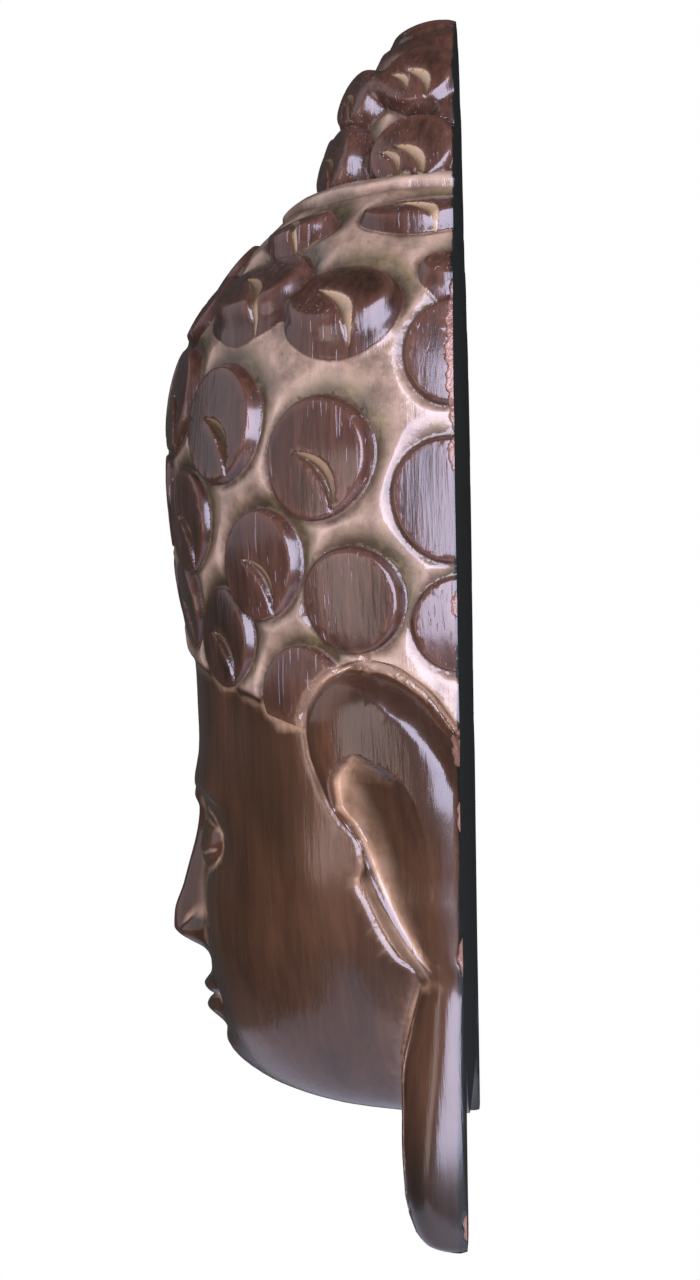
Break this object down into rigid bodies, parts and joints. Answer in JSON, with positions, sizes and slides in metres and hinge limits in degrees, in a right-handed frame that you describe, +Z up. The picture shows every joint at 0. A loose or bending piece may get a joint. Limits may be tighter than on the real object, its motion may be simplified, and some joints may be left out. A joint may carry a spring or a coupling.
{
  "type": "carved wall mask",
  "caption": "Carved wooden Buddha head mask with snail-shell curls, topknot and long ear lobes, flat behind, hung on a wall from a hole in its back.",
  "frame": {"origin": "mouth of the hanging hole in the flat back, on the centre line", "axes": "+Z up towards the topknot, -Y out of the face, the flat back in the plane Y = 0, +X towards the figure's left ear"},
  "size_m": [0.2512, 0.131, 0.5003],
  "materials": {
    "stained_wood": "dark brown stain rubbed back to tan in the hollows, satin lacquer, flat black-green stained back"
  },
  "bodies": {
    "root": {"buddha_mask": "stained_wood"}
  },
  "joints": []
}
